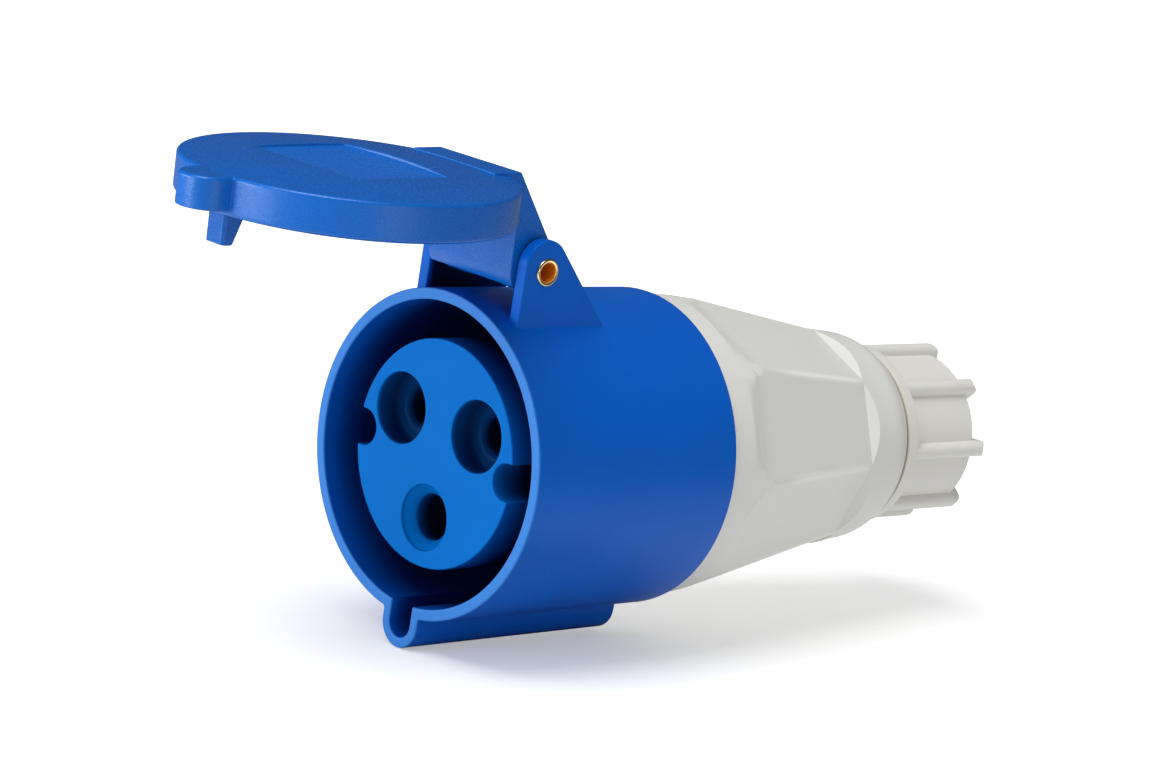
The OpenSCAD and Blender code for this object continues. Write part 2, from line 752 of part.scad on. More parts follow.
// Cutter of one flat panel: floor parallel to the cone, round run-out in front, sloping end at the rear
module panel_cutter() {
    depth = (1 - panel_share) * cone_r(panel_y);
    run = sqrt(pow(panel_runout_r, 2) - pow(panel_runout_r - depth, 2));
    tilt = atan(panel_share * (grip_front_r - grip_r) / grip_len);
    start = [panel_y + run, panel_share * cone_r(panel_y + run)];
    centre = start + panel_runout_r * [sin(tilt), cos(tilt)];
    floor_end = [shoulder_y - panel_ramp, panel_share * cone_r(shoulder_y - panel_ramp)];
    ramp_end = floor_end + 2 * ([shoulder_y + panel_ramp, grip_r] - floor_end);
    across(0.8 * grip_front_r)
        polygon(concat(arc(centre, panel_runout_r, 200, 270 - tilt, 10),
                       [floor_end, ramp_end, [ramp_end[0], 2 * grip_front_r],
                        [panel_y - panel_runout_r, 2 * grip_front_r]]));
}

module rear_housing()
    color(pale)
        difference() {
            union() {
                turned(housing_profile());
                snap_ring(spigot_r - past, spigot_r + lug_h, lug_y, lug_y + lug_t, lug_half_angle);
            }
            turned([[seal_floor_r, seal_y - seal_groove_half], [spigot_r + past, seal_y - seal_groove_half],
                    [spigot_r + past, seal_y + seal_groove_half], [seal_floor_r, seal_y + seal_groove_half]]);
            for (i = [0 : panel_count - 1])
                spun(panel_turn + 360 * i / panel_count - 90) panel_cutter();
        }

module housing_seal()
    color(rubber)
        translate([0, seal_y, 0]) rotate([-90, 0, 0]) rotate_extrude()
            translate([seal_major, 0]) circle(seal_minor, $fn = 32);

// Collet with a plain ring at its seat and springy fingers towards the nut
module clamp_collet()
    color(inner_plastic)
        difference() {
            turned([[collet_hole_r, collet_y], [collet_r, collet_y], [collet_r, collet_end_y],
                    [collet_r - collet_wall, collet_end_y], [collet_r - collet_wall, collet_y + collet_base],
                    [collet_hole_r, collet_y + collet_base]]);
            for (i = [0 : finger_count / 2 - 1])
                spun(360 * i / finger_count)
                    translate([-1.5 * collet_r, bush_y + past, -finger_slit / 2])
                        cube([3 * collet_r, gland_len + past, finger_slit]);
        }

module gland_seal()
    color(rubber)
        turned([[cable_r, bush_y], [bush_r, bush_y],
                [bush_r, collet_end_y - loose], [cable_r, collet_end_y - loose]]);

module gland_washer()
    color(inner_plastic)
        turned([[washer_hole_r, washer_y], [washer_r, washer_y], [washer_r, washer_y + washer_t],
                [washer_hole_r, washer_y + washer_t]]);

// One rib of the nut, round on top, standing past the nut's end
module nut_rib() {
    corner = rib_w / 2;
    top = nut_r + rib_h;
    tip = nut_end_y + rib_crown;
    front = nut_y + rib_lead;
    intersection() {
        across(rib_w)
            polygon(concat([[front, rib_in_r]],
                           arc([front + corner / 2, top - corner / 2], corner / 2, 180, 90, 4),
                           arc([tip - corner, top - corner], corner, 90, 0, 5),
                           arc([tip - corner / 2, rib_in_r + corner / 2], corner / 2, 0, -90, 4)));
        along(nut_y, tip + past) {
            translate([0, top - corner]) circle(corner);
            translate([-corner, 0]) square([rib_w, top - corner]);
        }
    }
}

module gland_nut()
    color(pale)
        difference() {
            union() {
                turned([[0, nut_y], [nut_ring_r, nut_y],
                        [nut_ring_r - nut_ring_taper, nut_y + nut_ring_len - nut_edge],
                        [nut_r, nut_y + nut_ring_len + nut_edge], [nut_r, nut_end_y - nut_edge],
                        [nut_r - nut_edge, nut_end_y], [0, nut_end_y]]);
                for (i = [0 : rib_count - 1])
                    spun(rib_turn + 360 * i / rib_count - 90) nut_rib();
            }
            rod(nut_bore_r, nut_y - past, nut_floor_y);
            rod(nut_hole_r, nut_floor_y - past, nut_end_y + past);
        }

front_shell();
lid();
lid_gasket();
hinge_rivet();
lid_spring();
contact_insert();
line_contact();
neutral_contact();
earth_contact();
pole_springs();
earth_spring();
terminal_screws();
contact_retainer();
retainer_screws();
rear_housing();
housing_seal();
clamp_collet();
gland_seal();
gland_washer();
gland_nut();
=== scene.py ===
# Cable socket with its lid open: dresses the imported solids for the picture
import bpy
import math
from mathutils import Matrix, Vector


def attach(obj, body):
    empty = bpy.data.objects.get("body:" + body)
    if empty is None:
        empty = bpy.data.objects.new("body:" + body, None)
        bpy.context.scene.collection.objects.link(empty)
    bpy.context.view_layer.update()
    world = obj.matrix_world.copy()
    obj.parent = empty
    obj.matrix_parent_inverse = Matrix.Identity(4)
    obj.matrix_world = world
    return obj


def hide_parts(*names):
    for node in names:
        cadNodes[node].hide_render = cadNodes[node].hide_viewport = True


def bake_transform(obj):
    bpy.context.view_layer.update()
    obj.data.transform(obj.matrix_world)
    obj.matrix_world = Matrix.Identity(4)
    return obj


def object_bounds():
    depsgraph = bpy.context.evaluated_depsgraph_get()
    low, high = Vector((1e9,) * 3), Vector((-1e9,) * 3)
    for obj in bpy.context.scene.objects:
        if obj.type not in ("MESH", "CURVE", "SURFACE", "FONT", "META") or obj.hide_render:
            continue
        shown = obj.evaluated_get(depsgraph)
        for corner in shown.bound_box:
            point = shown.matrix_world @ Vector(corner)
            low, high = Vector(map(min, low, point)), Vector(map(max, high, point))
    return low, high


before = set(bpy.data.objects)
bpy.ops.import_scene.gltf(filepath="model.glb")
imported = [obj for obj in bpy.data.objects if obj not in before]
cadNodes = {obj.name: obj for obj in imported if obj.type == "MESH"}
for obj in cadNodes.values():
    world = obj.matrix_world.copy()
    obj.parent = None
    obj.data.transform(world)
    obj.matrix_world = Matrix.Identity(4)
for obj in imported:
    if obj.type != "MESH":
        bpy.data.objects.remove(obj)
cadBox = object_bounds()
mm = 0.001
scene = bpy.context.scene
print("frame loaded,", len(cadNodes), "solids")


# Places that several pieces share
origin = (0, 0, 0)
hingeAt = (0, 8.9 * mm, 33.0 * mm)
poleSpots = [(side * 9.266 * mm, 0, 5.35 * mm) for side in (1, -1)]
earthSpot = (0, 0, -10.7 * mm)

# Axes that count in a distance: from a line along X, Y or Z, and from the plane X = 0
aroundX, aroundY, aroundZ, sideways = (0, 1, 1), (1, 0, 1), (1, 1, 0), (1, 0, 0)


# Small helpers for selecting and finishing

def pick(piece):
    bpy.ops.object.select_all(action="DESELECT")
    piece.select_set(True)
    bpy.context.view_layer.objects.active = piece


def applyAll(piece):
    pick(piece)
    for modifier in list(piece.modifiers):
        bpy.ops.object.modifier_apply(modifier=modifier.name)


def smoothShade(piece, degrees):
    pick(piece)
    bpy.ops.object.shade_smooth_by_angle(angle=math.radians(degrees))


def paint(piece, material):
    piece.data.materials.clear()
    piece.data.materials.append(material)


# Materials: every finish is a dictionary, read by one maker per kind

white = (1, 1, 1)
wholeSpan = (0.0, 1.0)
noiseSpan = (0.3, 0.7)
noiseKinds = {
    "flow": {"detail": 2.0, "rough": 0.55},
    "grain": {"detail": 4.0, "rough": 0.65},
    "ripple": {"detail": 1.0, "rough": 0.55},
    "stain": {"detail": 4.0, "rough": 0.55},
    "line": {"detail": 2.0, "rough": 0.55},
}
drawnStrength = 0.6


def startMaterial(name):
    material = bpy.data.materials.new(name)
    material.use_nodes = True
    tree = material.node_tree
    shader = tree.nodes["Principled BSDF"]
    place = tree.nodes.new("ShaderNodeTexCoord").outputs["Object"]
    return material, tree, shader, place


def noiseOn(tree, place, finish, kind):
    noise = tree.nodes.new("ShaderNodeTexNoise")
    noise.inputs["Scale"].default_value = 1.0 / finish[kind + "Size"]
    noise.inputs["Detail"].default_value = noiseKinds[kind]["detail"]
    noise.inputs["Roughness"].default_value = noiseKinds[kind]["rough"]
    tree.links.new(place, noise.inputs["Vector"])
    return noise.outputs["Fac"]


def spread(tree, value, low, high, span=noiseSpan):
    spreader = tree.nodes.new("ShaderNodeMapRange")
    spreader.inputs["From Min"].default_value = span[0]
    spreader.inputs["From Max"].default_value = span[1]
    spreader.inputs["To Min"].default_value = low
    spreader.inputs["To Max"].default_value = high
    tree.links.new(value, spreader.inputs["Value"])
    return spreader.outputs["Result"]


def rising(tree, value, span=noiseSpan):
    return spread(tree, value, 0.0, 1.0, span)


def falling(tree, value, span):
    return spread(tree, value, 1.0, 0.0, span)


def joined(tree, operation, first, second):
    maths = tree.nodes.new("ShaderNodeMath")
    maths.operation = operation
    tree.links.new(first, maths.inputs[0])
    tree.links.new(second, maths.inputs[1])
    return maths.outputs[0]


def times(tree, first, second):
    return joined(tree, "MULTIPLY", first, second)


def blended(tree, value, first, second):
    mixer = tree.nodes.new("ShaderNodeMix")
    mixer.data_type = "RGBA"
    for socket, colour in (("A", first), ("B", second)):
        if isinstance(colour, tuple):
            mixer.inputs[socket].default_value = (*colour, 1)
        else:
            tree.links.new(colour, mixer.inputs[socket])
    tree.links.new(value, mixer.inputs["Factor"])
    return mixer.outputs["Result"]


def bumpFrom(tree, height, distance, strength=1.0, under=None):
    bump = tree.nodes.new("ShaderNodeBump")
    bump.inputs["Distance"].default_value = distance
    bump.inputs["Strength"].default_value = strength
    tree.links.new(height, bump.inputs["Height"])
    if under is not None:
        tree.links.new(under, bump.inputs["Normal"])
    return bump.outputs["Normal"]


# Distance of a point from a place, along the axes that count
def reachFrom(tree, place, at=origin, across=aroundY):
    shift = tree.nodes.new("ShaderNodeMapping")
    shift.inputs["Location"].default_value = [-a * k for a, k in zip(at, across)]
    shift.inputs["Scale"].default_value = across
    tree.links.new(place, shift.inputs["Vector"])
    length = tree.nodes.new("ShaderNodeVectorMath")
    length.operation = "LENGTH"
    tree.links.new(shift.outputs["Vector"], length.inputs[0])
    return length.outputs["Value"]


# Share of a painted tone at a point, mostly painted shade that grows with the depth in a recess,
# within the recess's own bounds.
# Every bound is a pair, from no share to the full share, and for the radius the other way round
def inRecess(tree, place, recess):
    split = tree.nodes.new("ShaderNodeSeparateXYZ")
    tree.links.new(place, split.inputs[0])
    share = rising(tree, split.outputs["Y"], recess["depth"])
    for bound, axis in (("until", "Y"), ("above", "Z"), ("below", "Z")):
        if bound in recess:
            share = times(tree, share, rising(tree, split.outputs[axis], recess[bound]))
    if "beyond" in recess:
        share = times(tree, share, rising(tree, reachFrom(tree, place), recess["beyond"]))
    reach = reachFrom(tree, place, recess.get("at", origin), recess.get("across", aroundY))
    return times(tree, share, falling(tree, reach, recess["radius"]))


# Share of the painted highlight along a ridge line at a point, for ridge lines that repeat
# around the Y axis
def onRidge(tree, place, ridgeHighlights):
    split = tree.nodes.new("ShaderNodeSeparateXYZ")
    tree.links.new(place, split.inputs[0])
    angle = joined(tree, "ARCTAN2", split.outputs["Z"], split.outputs["X"])
    crest, half = ridgeHighlights["first"], ridgeHighlights["half"]
    wrapped = tree.nodes.new("ShaderNodeMath")
    wrapped.operation = "WRAP"
    wrapped.inputs[1].default_value = crest + ridgeHighlights["pitch"] / 2
    wrapped.inputs[2].default_value = crest - ridgeHighlights["pitch"] / 2
    tree.links.new(angle, wrapped.inputs[0])
    rise = rising(tree, wrapped.outputs[0], (crest - half, crest))
    fall = falling(tree, wrapped.outputs[0], (crest, crest + half))
    start = rising(tree, split.outputs["Y"], ridgeHighlights["start"])
    end = falling(tree, split.outputs["Y"], ridgeHighlights["end"])
    across = times(tree, rise, fall)
    return times(tree, across, times(tree, start, end))


def mouldedPlastic(finish):
    material, tree, shader, place = startMaterial(finish["name"])
    flow = noiseOn(tree, place, finish, "flow")
    grain = noiseOn(tree, place, finish, "grain")
    ripple = noiseOn(tree, place, finish, "ripple")
    colour = blended(tree, rising(tree, flow), finish["colour"], finish["shade"])
    # Painted shade in hollows, and the other painted tones, such as the painted sheen on the
    # shell's rim
    for recess in finish.get("paintedTones", ()):
        tone = recess.get("colour") or finish["paintedShade"]
        colour = blended(tree, inRecess(tree, place, recess), colour, tone)
    # Painted highlight along each ridge line
    if "ridgeHighlights" in finish:
        ridgeHighlights = finish["ridgeHighlights"]
        colour = blended(tree, onRidge(tree, place, ridgeHighlights), colour, ridgeHighlights["colour"])
    tree.links.new(colour, shader.inputs["Base Color"])
    tree.links.new(spread(tree, grain, *finish["roughness"]), shader.inputs["Roughness"])
    waves = bumpFrom(tree, ripple, finish["rippleDepth"])
    relief = bumpFrom(tree, grain, finish["grainDepth"], under=waves)
    tree.links.new(relief, shader.inputs["Normal"])
    shader.inputs["Specular IOR Level"].default_value = finish["specular"]
    shader.inputs["Specular Tint"].default_value = (*finish.get("gleam", white), 1)
    return material


def metal(finish):
    material, tree, shader, place = startMaterial(finish["name"])
    stain = noiseOn(tree, place, finish, "stain")
    drawn = tree.nodes.new("ShaderNodeMapping")
    drawn.inputs["Scale"].default_value = finish["drawn"]
    tree.links.new(place, drawn.inputs["Vector"])
    lines = noiseOn(tree, drawn.outputs["Vector"], finish, "line")
    colour = blended(tree, rising(tree, stain), finish["colour"], finish["shade"])
    shader.inputs["Metallic"].default_value = 1.0
    # A painted reflection inside a bore, for finishes that give one
    if "bore" in finish:
        bore = finish["bore"]
        reach = reachFrom(tree, place, bore["at"], bore["across"])
        within = falling(tree, reach, bore["radius"])
        colour = blended(tree, within, colour, bore["colour"])
        metallic = spread(tree, within, 1.0, bore["metallic"], wholeSpan)
        tree.links.new(metallic, shader.inputs["Metallic"])
    tree.links.new(colour, shader.inputs["Base Color"])
    tree.links.new(spread(tree, stain, *finish["roughness"]), shader.inputs["Roughness"])
    relief = bumpFrom(tree, lines, finish["lineDepth"], drawnStrength)
    tree.links.new(relief, shader.inputs["Normal"])
    return material


# Painted tones of the shell, in order: a painted sheen on the rim's front face, then painted
# shade in the mouth, in the keyway and in the pocket between the ears
blueGleam = (0.30, 0.58, 1.0)
shellBlue = mouldedPlastic({
    "name": "shellBlue", "colour": (0.0, 0.097, 0.505), "shade": (0.0, 0.090, 0.472),
    "flowSize": 14 * mm, "grainSize": 0.30 * mm, "grainDepth": 0.006 * mm,
    "rippleSize": 6 * mm, "rippleDepth": 0.015 * mm, "roughness": (0.34, 0.44),
    "specular": 0.26, "gleam": blueGleam, "paintedShade": (0.0, 0.020, 0.170),
    "paintedTones": [
        # Painted sheen: the rim's front face is painted lighter
        {"radius": (40 * mm, 41 * mm), "depth": (0.45 * mm, 0.05 * mm),
         "colour": (0.034, 0.172, 0.530)},
        {"radius": (25.15 * mm, 25.6 * mm), "depth": (0.4 * mm, 9 * mm)},
        {"radius": (2.55 * mm, 2.9 * mm), "across": sideways, "depth": (0.3 * mm, 4 * mm),
         "above": (-31.8 * mm, -31.2 * mm), "below": (-20 * mm, -22 * mm)},
        # Painted shade, near black, in the pocket between the ears
        {"radius": (10.25 * mm, 10.6 * mm), "across": sideways, "depth": (4.4 * mm, 5.4 * mm),
         "above": (20 * mm, 21 * mm), "beyond": (27.05 * mm, 27.35 * mm),
         "colour": (0.0, 0.003, 0.030)},
    ],
})

# The lid's one painted tone makes the sunk label field lighter
lidBlue = mouldedPlastic({
    "name": "lidBlue", "colour": (0.0, 0.100, 0.450), "shade": (0.0, 0.093, 0.420),
    "flowSize": 12 * mm, "grainSize": 0.34 * mm, "grainDepth": 0.045 * mm,
    "rippleSize": 7 * mm, "rippleDepth": 0.02 * mm, "roughness": (0.22, 0.32),
    "specular": 0.50, "gleam": (0.75, 0.90, 1.0),
    "paintedTones": [
        {"radius": (12.1 * mm, 12.5 * mm), "across": sideways, "depth": (-33.2 * mm, -32.8 * mm),
         "until": (-15.2 * mm, -15.6 * mm), "above": (46.5 * mm, 46.8 * mm),
         "colour": (0.002, 0.124, 0.550)},
    ],
})

# Painted shade of the insert, in order: in the pole cups, on all that lies well behind its face,
# and in the three bores
poleCupShade = {
    "radius": (5.95 * mm, 6.1 * mm), "depth": (1.95 * mm, 2.8 * mm),
    "colour": (0.0, 0.050, 0.215),
}
poleBoreShade = {"radius": (2.95 * mm, 3.3 * mm), "depth": (6.5 * mm, 8.5 * mm)}
insertBlue = mouldedPlastic({
    "name": "insertBlue", "colour": (0.0, 0.128, 0.470), "shade": (0.0, 0.121, 0.447),
    "flowSize": 10 * mm, "grainSize": 0.22 * mm, "grainDepth": 0.005 * mm,
    "rippleSize": 5 * mm, "rippleDepth": 0.01 * mm, "roughness": (0.36, 0.46),
    "specular": 0.06, "gleam": blueGleam, "paintedShade": (0.0, 0.005, 0.030),
    "paintedTones": [
        *({"at": spot, **poleCupShade} for spot in poleSpots),
        {"radius": (30 * mm, 31 * mm), "depth": (2.3 * mm, 9 * mm)},
        *({"at": spot, **poleBoreShade} for spot in poleSpots),
        {"at": earthSpot, "radius": (3.85 * mm, 4.1 * mm), "depth": (3.6 * mm, 6.5 * mm)},
    ],
})

# A painted highlight runs along each ridge line between the housing's grip panels
housingPale = mouldedPlastic({
    "name": "housingPale", "colour": (0.700, 0.700, 0.670), "shade": (0.683, 0.683, 0.652),
    "flowSize": 16 * mm, "grainSize": 0.25 * mm, "grainDepth": 0.005 * mm,
    "rippleSize": 8 * mm, "rippleDepth": 0.03 * mm, "roughness": (0.42, 0.52),
    "specular": 0.38,
    "ridgeHighlights": {
        "first": math.radians(43.8), "pitch": math.radians(45), "half": math.radians(2.4),
        "start": (60 * mm, 66 * mm), "end": (85 * mm, 87 * mm), "colour": (0.84, 0.84, 0.81),
    },
})

# The nut's one painted tone is painted shade on its front face, which lies close to the housing
nutPale = mouldedPlastic({
    "name": "nutPale", "colour": (0.715, 0.708, 0.668), "shade": (0.697, 0.690, 0.650),
    "flowSize": 12 * mm, "grainSize": 0.25 * mm, "grainDepth": 0.005 * mm,
    "rippleSize": 7 * mm, "rippleDepth": 0.02 * mm, "roughness": (0.42, 0.52),
    "specular": 0.38, "paintedShade": (0.50, 0.46, 0.37),
    "paintedTones": [{"radius": (30 * mm, 31 * mm), "depth": (99.75 * mm, 99.52 * mm)}],
})
innerDark = mouldedPlastic({
    "name": "innerDark", "colour": (0.030, 0.032, 0.036), "shade": (0.022, 0.024, 0.027),
    "flowSize": 8 * mm, "grainSize": 0.2 * mm, "grainDepth": 0.01 * mm,
    "rippleSize": 5 * mm, "rippleDepth": 0.01 * mm, "roughness": (0.45, 0.6), "specular": 0.4,
})
sealRubber = mouldedPlastic({
    "name": "sealRubber", "colour": (0.020, 0.020, 0.021), "shade": (0.030, 0.029, 0.029),
    "flowSize": 6 * mm, "grainSize": 0.15 * mm, "grainDepth": 0.015 * mm,
    "rippleSize": 3 * mm, "rippleDepth": 0.01 * mm, "roughness": (0.65, 0.8), "specular": 0.3,
})
rivetBrass = metal({
    "name": "rivetBrass", "colour": (0.95, 0.78, 0.45), "shade": (0.88, 0.66, 0.30),
    "stainSize": 1.5 * mm, "drawn": (0.15, 1, 1), "lineSize": 0.25 * mm,
    "lineDepth": 0.01 * mm, "roughness": (0.18, 0.30),
    # The bore is painted orange with little metal in it: a painted reflection of the brass
    # around it
    "bore": {
        "at": hingeAt, "across": aroundX, "radius": (1.62 * mm, 1.80 * mm),
        "colour": (0.80, 0.24, 0.01), "metallic": 0.15,
    },
})
contactBrass = metal({
    "name": "contactBrass", "colour": (0.80, 0.56, 0.24), "shade": (0.66, 0.43, 0.16),
    "stainSize": 4 * mm, "drawn": (1, 0.1, 1), "lineSize": 0.3 * mm,
    "lineDepth": 0.01 * mm, "roughness": (0.25, 0.4),
})
springSteel = metal({
    "name": "springSteel", "colour": (0.60, 0.60, 0.59), "shade": (0.46, 0.46, 0.46),
    "stainSize": 2 * mm, "drawn": (1, 1, 0.2), "lineSize": 0.2 * mm,
    "lineDepth": 0.01 * mm, "roughness": (0.22, 0.38),
})
print("materials made")


# Pieces taken over from their solids, with softened edges.
# Spans run along Y, and farFront and farBack lie beyond both ends of the part
farFront, farBack = -1.0, 1.0
softRule = {
    "merge": 0.002 * mm, "flat": math.radians(1), "skew": math.radians(150),
    "steps": 3, "smooth": 35,
}


# Gives bevel weight to the sharp edges that lie within the spans
def markEdges(piece, degrees, spans):
    bpy.ops.mesh.select_all(action="DESELECT")
    bpy.ops.mesh.edges_select_sharp(sharpness=math.radians(degrees))
    bpy.ops.object.mode_set(mode="OBJECT")
    points = piece.data.vertices
    for edge in piece.data.edges:
        if edge.select:
            along = [points[k].co.y for k in edge.vertices]
            edge.select = any(low <= min(along) and max(along) <= high for low, high in spans)
    bpy.ops.object.mode_set(mode="EDIT")
    bpy.ops.transform.edge_bevelweight(value=1.0)


def softened(node, look):
    piece = bpy.data.objects.new(look["piece"], cadNodes[node].data.copy())
    scene.collection.objects.link(piece)
    pick(piece)
    bpy.ops.mesh.customdata_custom_splitnormals_clear()
    bpy.ops.object.mode_set(mode="EDIT")
    bpy.ops.mesh.select_all(action="SELECT")
    bpy.ops.mesh.remove_doubles(threshold=softRule["merge"])
    bpy.ops.mesh.tris_convert_to_quads(face_threshold=softRule["flat"],
                                       shape_threshold=softRule["skew"])
    bpy.ops.mesh.select_mode(type="EDGE")
    markEdges(piece, look["sharp"], look.get("spans", [(farFront, farBack)]))
    bpy.ops.object.mode_set(mode="OBJECT")
    edges = piece.modifiers.new("softEdges", "BEVEL")
    edges.limit_method = "WEIGHT"
    edges.width = look["edge"]
    edges.segments = softRule["steps"]
    edges.use_clamp_overlap = False
    edges.miter_outer = "MITER_ARC"
    applyAll(piece)
    smoothShade(piece, softRule["smooth"])
    even = piece.modifiers.new("evenNormals", "WEIGHTED_NORMAL")
    even.keep_sharp = True
    applyAll(piece)
    paint(piece, look["finish"])
    paint(cadNodes[node], look["finish"])
    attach(piece, look["body"])
    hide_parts(node)
    print("softened", node, len(piece.data.polygons), "faces")


softened("front_shell", {
    "piece": "frontShell", "body": "socket", "slot": "blue_plastic", "finish": shellBlue,
    "edge": 0.30 * mm, "sharp": 40})
softened("lid", {
    "piece": "hingedLid", "body": "lid", "slot": "blue_plastic", "finish": lidBlue,
    "edge": 0.2 * mm, "sharp": 40})
softened("contact_insert", {
    "piece": "contactInsert", "body": "socket", "slot": "blue_plastic", "finish": insertBlue,
    "edge": 0.25 * mm, "sharp": 40})
softened("rear_housing", {
    "piece": "rearHousing", "body": "socket", "slot": "pale_plastic", "finish": housingPale,
    "edge": 0.35 * mm, "sharp": 36, "spans": [(farFront, 58 * mm), (91 * mm, farBack)]})
softened("gland_nut", {
    "piece": "glandNut", "body": "gland_nut", "slot": "pale_plastic", "finish": nutPale,
    "edge": 0.3 * mm, "sharp": 40, "spans": [(farFront, 101 * mm), (104 * mm, 118 * mm)]})
softened("lid_gasket", {
    "piece": "lidGasket", "body": "lid", "slot": "rubber", "finish": sealRubber,
    "edge": 0.12 * mm, "sharp": 40})
softened("hinge_rivet", {
    "piece": "hingeRivet", "body": "socket", "slot": "brass", "finish": rivetBrass,
    "edge": 0.05 * mm, "sharp": 50})


# Helpers for pieces that are screwed from one round section

def screwed(name, section, screw):
    bpy.ops.object.select_all(action="DESELECT")
    bpy.ops.mesh.primitive_circle_add(vertices=section["around"], radius=section["radius"],
                                      location=section["at"], rotation=section["turn"])
    piece = bpy.context.object
    piece.name = name
    bpy.ops.object.transform_apply(location=True, rotation=True, scale=True)
    coil = piece.modifiers.new("coil", "SCREW")
    coil.axis = screw["axis"]
    coil.angle = screw["angle"]
    coil.screw_offset = screw["travel"]
    coil.steps = coil.render_steps = screw["steps"]
    coil.use_merge_vertices = False
    applyAll(piece)
    return piece


# Closes an open end with a face, after pulling it out into a leg if a way is given
def closeEnd(piece, ring, way=None):
    bpy.ops.object.mode_set(mode="EDIT")
    bpy.ops.mesh.select_mode(type="VERT")
    bpy.ops.mesh.select_all(action="DESELECT")
    bpy.ops.object.mode_set(mode="OBJECT")
    for index in ring:
        piece.data.vertices[index].select = True
    bpy.ops.object.mode_set(mode="EDIT")
    if way is not None:
        bpy.ops.mesh.extrude_region_move(TRANSFORM_OT_translate={"value": way})
    bpy.ops.mesh.edge_face_add()
    bpy.ops.object.mode_set(mode="OBJECT")


# Turns every face outward and moves the mesh, not its origin
def settle(shift=origin):
    bpy.ops.object.mode_set(mode="EDIT")
    bpy.ops.mesh.select_all(action="SELECT")
    bpy.ops.mesh.normals_make_consistent(inside=False)
    if shift != origin:
        bpy.ops.transform.translate(value=shift)
    bpy.ops.object.mode_set(mode="OBJECT")


# Lid spring: wound about the hinge, with a straight leg pulled from its lid end. Its other end
# closes on the fixed rivet, so that no leg meets the arm when the lid is shut
springShape = {
    "piece": "lidSpring", "wireRadius": 0.4 * mm, "around": 12, "coil": 2.62 * mm,
    "half": 3.2 * mm, "hinge": hingeAt, "first": -178.0, "last": 2410.0, "stepsPerTurn": 32,
    "lidLeg": 7.0 * mm, "tip": 0.3 * mm, "gripTurns": 0.4, "gripRadius": 2.39 * mm,
    "smooth": 40,
}


def eased(share):
    return share * share * (3 - 2 * share)


def closeOnRivet(piece, shape):
    rings = round(shape["gripTurns"] * shape["stepsPerTurn"])
    around = shape["around"]
    lastRing = len(piece.data.vertices) // around - 1
    for ring in range(lastRing - rings, lastRing + 1):
        share = (ring - lastRing + rings) / rings
        inward = eased(share) * (shape["coil"] - shape["gripRadius"])
        for vertex in piece.data.vertices[ring * around:(ring + 1) * around]:
            outward = Vector((0, vertex.co.y, vertex.co.z)).normalized()
            vertex.co -= inward * outward


def makeSpring(shape):
    first, last = math.radians(shape["first"]), math.radians(shape["last"])
    turns = (last - first) / math.tau
    coil, around = shape["coil"], shape["around"]
    piece = screwed(shape["piece"], {
        "around": around, "radius": shape["wireRadius"], "turn": (first, 0, 0),
        "at": (-shape["half"], coil * math.cos(first), coil * math.sin(first)),
    }, {
        "axis": "X", "angle": last - first, "travel": 2 * shape["half"],
        "steps": round(turns * shape["stepsPerTurn"]),
    })
    count = len(piece.data.vertices)
    closeOnRivet(piece, shape)
    tip, leg = shape["tip"], shape["lidLeg"]
    closeEnd(piece, range(count - around, count),
             (0, -tip * math.sin(last), tip * math.cos(last)))
    closeEnd(piece, range(around), (0, leg * math.sin(first), -leg * math.cos(first)))
    settle(shape["hinge"])
    smoothShade(piece, shape["smooth"])
    paint(piece, springSteel)
    paint(cadNodes["lid_spring"], springSteel)
    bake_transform(piece)
    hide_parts("lid_spring")
    print("spring wound,", len(piece.data.polygons), "faces")


makeSpring(springShape)


# Thread on the gland spigot, seen when the nut is backed off
threadShape = {
    "piece": "spigotThread", "around": 10, "radius": 0.55 * mm, "centre": 12.3 * mm,
    "start": 99.9 * mm, "end": 111.0 * mm, "pitch": 2.0 * mm, "stepsPerTurn": 72,
    "smooth": 40,
}


def makeThread(shape):
    travel, around = shape["end"] - shape["start"], shape["around"]
    turns = travel / shape["pitch"]
    piece = screwed(shape["piece"], {
        "around": around, "radius": shape["radius"], "turn": (0, 0, 0),
        "at": (shape["centre"], shape["start"], 0),
    }, {
        "axis": "Y", "angle": turns * math.tau, "travel": travel,
        "steps": round(turns * shape["stepsPerTurn"]),
    })
    count = len(piece.data.vertices)
    for ring in (range(count - around, count), range(around)):
        closeEnd(piece, ring)
    settle()
    smoothShade(piece, shape["smooth"])
    paint(piece, housingPale)
    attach(piece, "socket")
    print("thread cut,", len(piece.data.polygons), "faces")


makeThread(threadShape)


# Solids that stay as they are and only get their finish
insideFinish = {
    "line_contact": contactBrass, "neutral_contact": contactBrass, "earth_contact": contactBrass,
    "pole_springs": springSteel, "earth_spring": springSteel, "terminal_screws": springSteel,
    "retainer_screws": springSteel, "contact_retainer": innerDark, "housing_seal": sealRubber,
    "clamp_collet": innerDark, "gland_seal": sealRubber, "gland_washer": innerDark,
}
for node, finish in insideFinish.items():
    paint(cadNodes[node], finish)
print("inner solids painted")


# Camera at the photograph's view: pixels for the picture, degrees for the angles
photoView = {
    "width": 1163.0, "height": 774.0, "focal": 4000.0, "originAt": (424.38, 454.512),
    "turn": 44.931, "rise": 11.364, "roll": 9.079, "reach": 645.244 * mm,
    "sensor": 36.0, "clip": (0.01, 50.0),
}


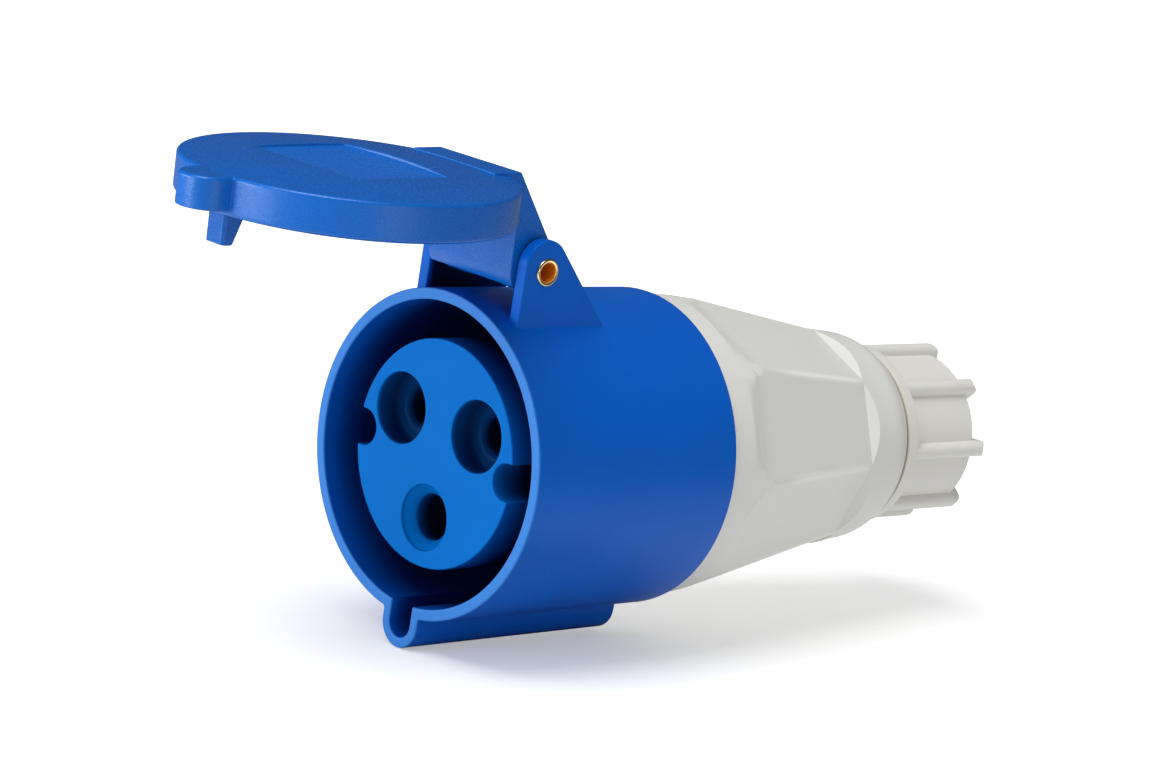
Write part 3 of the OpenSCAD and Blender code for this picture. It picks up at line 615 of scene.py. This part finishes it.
def placeCamera(view):
    turn, rise, roll = (math.radians(view[k]) for k in ("turn", "rise", "roll"))
    back = Vector((math.sin(turn) * math.cos(rise), -math.cos(turn) * math.cos(rise),
                   math.sin(rise)))
    levelRight = Vector((math.cos(turn), math.sin(turn), 0))
    levelUp = back.cross(levelRight)
    right = math.cos(roll) * levelRight + math.sin(roll) * levelUp
    up = math.cos(roll) * levelUp - math.sin(roll) * levelRight
    perPixel = view["reach"] / view["focal"]
    aside = (view["originAt"][0] - view["width"] / 2) * perPixel
    below = (view["originAt"][1] - view["height"] / 2) * perPixel
    eye = view["reach"] * back - aside * right + below * up
    data = bpy.data.cameras.new("photoCamera")
    data.sensor_width = view["sensor"]
    data.lens = view["focal"] / view["width"] * view["sensor"]
    data.clip_start, data.clip_end = view["clip"]
    camera = bpy.data.objects.new("photoCamera", data)
    scene.collection.objects.link(camera)
    camera.matrix_world = Matrix((
        (right.x, up.x, back.x, eye.x), (right.y, up.y, back.y, eye.y),
        (right.z, up.z, back.z, eye.z), (0, 0, 0, 1)))
    scene.camera = camera


placeCamera(photoView)
print("camera placed")


# Stage: white floor and surround, soft lamps
stageLook = {
    "floorReach": 12.0, "floorDrop": 0.05 * mm,
    "floorColour": (0.80, 0.80, 0.80), "floorMirrored": (0.25, 0.25, 0.25),
    "surround": 0.42, "mirrored": 0.15, "floorLift": (0.36, 0.95), "liftReach": (0.12, 0.7),
    "bandLift": 1.0, "bandStart": (0.050, 0.080), "bandEnd": (0.15, 0.28),
    "key": {"at": (-0.80, -0.90, 0.20), "size": 0.8, "height": 0.35, "power": 6.5},
    "front": {"at": (-0.13, -0.56, 0.03), "size": 0.15, "height": 0.10, "power": 1.15},
    "top": {"at": (0.10, -0.55, 1.15), "size": 0.8, "height": 0.8, "power": 13.5},
    "side": {"at": (0.62, -0.12, 0.04), "size": 0.15, "height": 0.10, "power": 0.32},
}
aimPoint = Vector((0, 0.03, 0.005))


def rayKind(tree, kind):
    return tree.nodes.new("ShaderNodeLightPath").outputs[kind]


# The floor glows for the camera, and in a ring around the part for what mirrors it
def makeFloor(look):
    bpy.ops.object.select_all(action="DESELECT")
    bpy.ops.mesh.primitive_plane_add(size=look["floorReach"],
                                     location=(0, 0, cadBox[0].z - look["floorDrop"]))
    floor = bpy.context.object
    floor.name = "floor"
    material = bpy.data.materials.new("floorWhite")
    material.use_nodes = True
    tree = material.node_tree
    tree.nodes.remove(tree.nodes["Principled BSDF"])
    matt = tree.nodes.new("ShaderNodeBsdfDiffuse")
    mirrored = rayKind(tree, "Is Glossy Ray")
    tone = blended(tree, mirrored, look["floorColour"], look["floorMirrored"])
    tree.links.new(tone, matt.inputs["Color"])
    glow = tree.nodes.new("ShaderNodeEmission")
    place = tree.nodes.new("ShaderNodeTexCoord").outputs["Object"]
    away = reachFrom(tree, place, across=aroundZ)
    lift = spread(tree, away, *look["floorLift"], look["liftReach"])
    seen = times(tree, rayKind(tree, "Is Camera Ray"), lift)
    rise = spread(tree, away, 0.0, look["bandLift"], look["bandStart"])
    band = times(tree, rise, falling(tree, away, look["bandEnd"]))
    strength = joined(tree, "ADD", seen, times(tree, mirrored, band))
    tree.links.new(strength, glow.inputs["Strength"])
    both = tree.nodes.new("ShaderNodeAddShader")
    tree.links.new(matt.outputs[0], both.inputs[0])
    tree.links.new(glow.outputs[0], both.inputs[1])
    tree.links.new(both.outputs[0], tree.nodes["Material Output"].inputs["Surface"])
    floor.data.materials.append(material)


def makeSurround(look):
    world = bpy.data.worlds.new("studio")
    scene.world = world
    world.use_nodes = True
    tree = world.node_tree
    background = tree.nodes["Background"]
    background.inputs["Color"].default_value = (*white, 1)
    level = spread(tree, rayKind(tree, "Is Camera Ray"), look["surround"], 1.0, wholeSpan)
    dimmed = spread(tree, rayKind(tree, "Is Glossy Ray"), 1.0, look["mirrored"], wholeSpan)
    tree.links.new(times(tree, level, dimmed), background.inputs["Strength"])


def softLamp(name, lamp):
    data = bpy.data.lights.new(name, "AREA")
    data.shape = "RECTANGLE"
    data.size, data.size_y = lamp["size"], lamp["height"]
    data.energy = lamp["power"]
    light = bpy.data.objects.new(name, data)
    scene.collection.objects.link(light)
    light.location = lamp["at"]
    light.rotation_mode = "QUATERNION"
    light.rotation_quaternion = (aimPoint - Vector(lamp["at"])).to_track_quat("-Z", "Y")


makeFloor(stageLook)
makeSurround(stageLook)
for lampName in ("key", "front", "top", "side"):
    softLamp(lampName + "Lamp", stageLook[lampName])
scene.view_settings.view_transform = "Standard"
print("stage lit")
